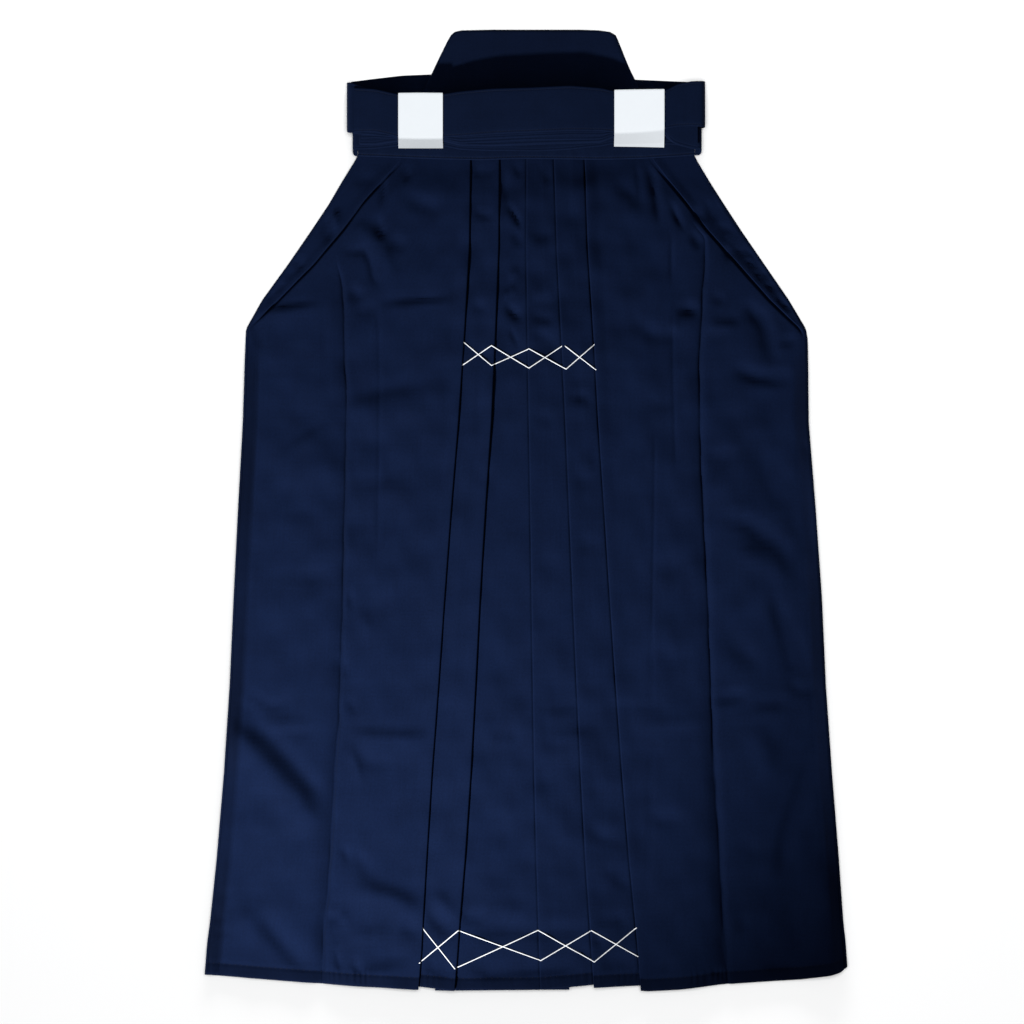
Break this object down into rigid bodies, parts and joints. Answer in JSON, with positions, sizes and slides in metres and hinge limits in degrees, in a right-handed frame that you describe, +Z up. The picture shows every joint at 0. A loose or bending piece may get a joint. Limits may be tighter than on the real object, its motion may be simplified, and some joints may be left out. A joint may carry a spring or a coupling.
{
  "type": "hakama trousers laid flat",
  "caption": "Wide pleated wrap trousers laid flat, front up, with a stiff back board and long ties folded across the waist under two plain retaining bands.",
  "frame": {"origin": "centre of the garment's outline, on the surface that it lies on", "axes": "+Z up from the surface through the garment's front; +Y from the hem to the waist and back board; +X to the right as seen from above"},
  "size_m": [0.734, 1.0973, 0.0258],
  "materials": {
    "navy_cloth": "matte twill, deep indigo navy",
    "board_cloth": "matte plain weave over a stiff board, deep navy",
    "tie_cloth": "matte twill, interlined, deep navy",
    "white_band": "plain smooth white, slightly sheeny"
  },
  "bodies": {
    "root": {"back_board": "board_cloth", "back_panel_left": "navy_cloth", "back_panel_right": "navy_cloth", "back_tie_left": "tie_cloth", "back_tie_right": "tie_cloth", "band_left": "white_band", "band_right": "white_band", "front_panel_left": "navy_cloth", "front_panel_right": "navy_cloth", "front_tie_left": "tie_cloth", "front_tie_right": "tie_cloth", "front_waistband": "tie_cloth", "gusset": "navy_cloth"}
  },
  "joints": []
}
